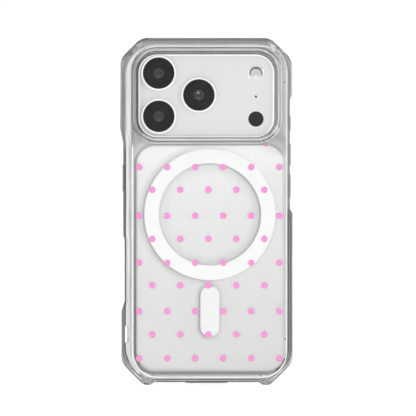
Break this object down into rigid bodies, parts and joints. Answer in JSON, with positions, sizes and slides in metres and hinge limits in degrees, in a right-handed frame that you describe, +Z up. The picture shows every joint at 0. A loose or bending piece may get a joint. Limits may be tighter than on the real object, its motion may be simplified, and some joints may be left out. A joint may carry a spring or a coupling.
{
  "type": "smartphone in a clear bumper case",
  "caption": "Smartphone in a clear bumper case with a magnetic ring, an alignment bar and printed dots; its side buttons press through soft covers.",
  "frame": {"origin": "middle of the box around the part, at the height of the case's two feet", "axes": "+Z up along the phone's height, +Y out of the screen, -Y out of the camera side, +X toward the volume keys"},
  "size_m": [0.078, 0.0146, 0.1566],
  "materials": {
    "clear_bumper": "clear soft polyurethane, glossy",
    "clear_plate": "clear hard polycarbonate, glossy",
    "clear_guard": "clear soft polyurethane, glossy",
    "key_cover": "clear soft polyurethane, glossy",
    "frosted_film": "frosted pale grey",
    "white_print": "white under clear plastic",
    "magnet": "nickel-plated",
    "pink_print": "printed pink",
    "silver_body": "fine bead-blasted and anodised",
    "back_glass": "matt etched, silver-white behind",
    "front_glass": "polished",
    "display": "dark, switched off",
    "dark_mesh": "fine woven mesh",
    "lens_ring": "polished rim, anodised silver",
    "lens_glass": "coated, polished",
    "lens_barrel": "black, stepped",
    "flash_lens": "fine rings",
    "flash_led": "yellow phosphor",
    "sensor_black": "black, glossy",
    "silver_button": "anodised silver",
    "switch_metal": "stamped",
    "antenna_plastic": "moulded light grey",
    "port_plastic": "black",
    "module_black": "black",
    "motor_steel": "brushed",
    "battery_foil": "black foil pouch",
    "shield_cans": "board under steel shield cans",
    "coil_copper": "copper wire"
  },
  "bodies": {
    "case": {"case_bumper": "clear_bumper", "case_back_plate": "clear_plate", "camera_guard": "clear_guard", "frosted_panel": "frosted_film", "magnet_ring_cover": "white_print", "case_magnets": "magnet", "alignment_bar": "white_print", "alignment_magnet": "magnet", "printed_dots": "pink_print"},
    "phone": {"phone_magnets": "magnet", "phone_body": "silver_body", "back_glass": "back_glass", "front_glass": "front_glass", "display_panel": "display", "earpiece_mesh": "dark_mesh", "rear_mic_mesh": "dark_mesh", "speaker_mesh": "dark_mesh", "lens_ring_top": "lens_ring", "lens_ring_low": "lens_ring", "lens_ring_side": "lens_ring", "lens_glass_top": "lens_glass", "lens_glass_low": "lens_glass", "lens_glass_side": "lens_glass", "lens_barrel_top": "lens_barrel", "lens_barrel_low": "lens_barrel", "lens_barrel_side": "lens_barrel", "flash_lens": "flash_lens", "flash_led": "flash_led", "depth_window": "sensor_black", "front_camera": "sensor_black", "button_switches": "switch_metal", "usb_shell": "switch_metal", "bottom_screws": "switch_metal", "antenna_bands": "antenna_plastic", "usb_tongue": "port_plastic", "speaker_box": "module_black", "haptic_motor": "motor_steel", "battery": "battery_foil", "logic_board": "shield_cans", "charging_coil": "coil_copper"},
    "power_cover": {"power_cover": "key_cover"},
    "shortcut_cover": {"shortcut_cover": "key_cover"},
    "volume_up_cover": {"volume_up_cover": "key_cover"},
    "volume_down_cover": {"volume_down_cover": "key_cover"},
    "power_button": {"power_button": "silver_button"},
    "shortcut_button": {"shortcut_button": "silver_button"},
    "volume_up_button": {"volume_up_button": "silver_button"},
    "volume_down_button": {"volume_down_button": "silver_button"},
    "shutter_button": {"shutter_button": "silver_button"}
  },
  "joints": [
    {"name": "phone_release", "type": "slide", "parent": "case", "child": "phone", "axis": [0, 1, 0], "range_m": [0, 0.018]},
    {"name": "power_press", "type": "slide", "parent": "case", "child": "power_cover", "axis": [1, 0, 0], "range_m": [0, 0.00025], "stiffness_N_per_m": 800},
    {"name": "shortcut_press", "type": "slide", "parent": "case", "child": "shortcut_cover", "axis": [-1, 0, 0], "range_m": [0, 0.00025], "stiffness_N_per_m": 800},
    {"name": "volume_up_press", "type": "slide", "parent": "case", "child": "volume_up_cover", "axis": [-1, 0, 0], "range_m": [0, 0.00025], "stiffness_N_per_m": 800},
    {"name": "volume_down_press", "type": "slide", "parent": "case", "child": "volume_down_cover", "axis": [-1, 0, 0], "range_m": [0, 0.00025], "stiffness_N_per_m": 800},
    {"name": "power_click", "type": "slide", "parent": "phone", "child": "power_button", "axis": [1, 0, 0], "range_m": [0, 0.00025], "stiffness_N_per_m": 800},
    {"name": "shortcut_click", "type": "slide", "parent": "phone", "child": "shortcut_button", "axis": [-1, 0, 0], "range_m": [0, 0.00025], "stiffness_N_per_m": 800},
    {"name": "volume_up_click", "type": "slide", "parent": "phone", "child": "volume_up_button", "axis": [-1, 0, 0], "range_m": [0, 0.00025], "stiffness_N_per_m": 800},
    {"name": "volume_down_click", "type": "slide", "parent": "phone", "child": "volume_down_button", "axis": [-1, 0, 0], "range_m": [0, 0.00025], "stiffness_N_per_m": 800},
    {"name": "shutter_click", "type": "slide", "parent": "phone", "child": "shutter_button", "axis": [1, 0, 0], "range_m": [0, 0.0002], "stiffness_N_per_m": 800}
  ],
  "couplings": [
    {"joint": "power_click", "follows": "power_press", "ratio": 1},
    {"joint": "shortcut_click", "follows": "shortcut_press", "ratio": 1},
    {"joint": "volume_up_click", "follows": "volume_up_press", "ratio": 1},
    {"joint": "volume_down_click", "follows": "volume_down_press", "ratio": 1}
  ]
}
